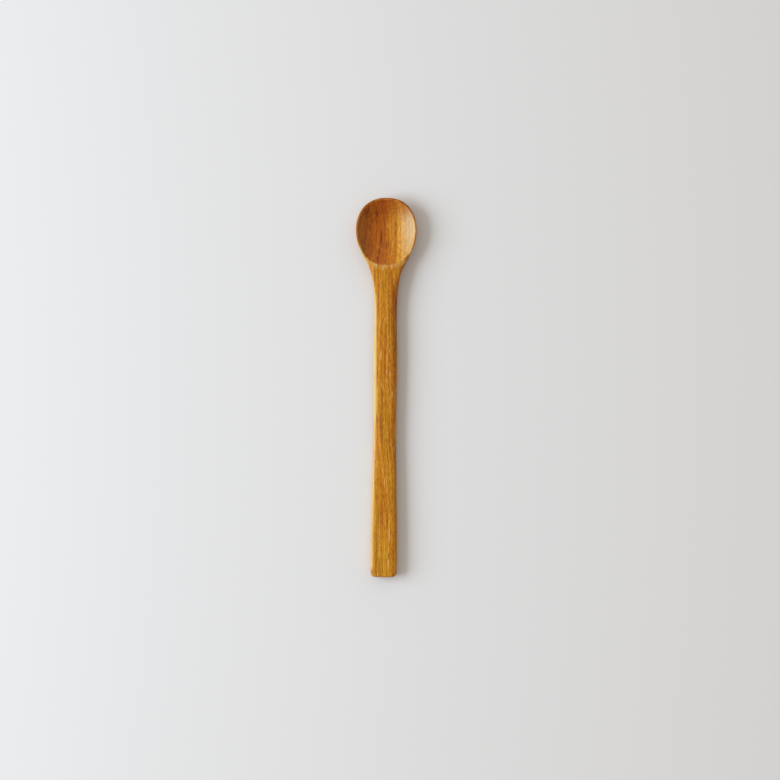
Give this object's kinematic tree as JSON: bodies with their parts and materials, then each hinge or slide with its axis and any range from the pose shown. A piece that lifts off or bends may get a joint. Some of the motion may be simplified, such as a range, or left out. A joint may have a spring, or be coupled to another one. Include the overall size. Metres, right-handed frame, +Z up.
{
  "type": "honey spoon",
  "caption": "Slim wooden serving spoon with a small egg-shaped hollow bowl and a long flat handle, for scooping honey, jam or spice.",
  "frame": {"origin": "on the table under the middle of the spoon's length, on its centre line", "axes": "+Y along the spoon towards the tip of the bowl, +X across it, +Z up out of the hollow"},
  "size_m": [0.0288, 0.18, 0.006],
  "materials": {
    "lacquered_wood": "open-grained hardwood with a satin amber lacquer"
  },
  "bodies": {
    "root": {"carved_spoon": "lacquered_wood"}
  },
  "joints": []
}
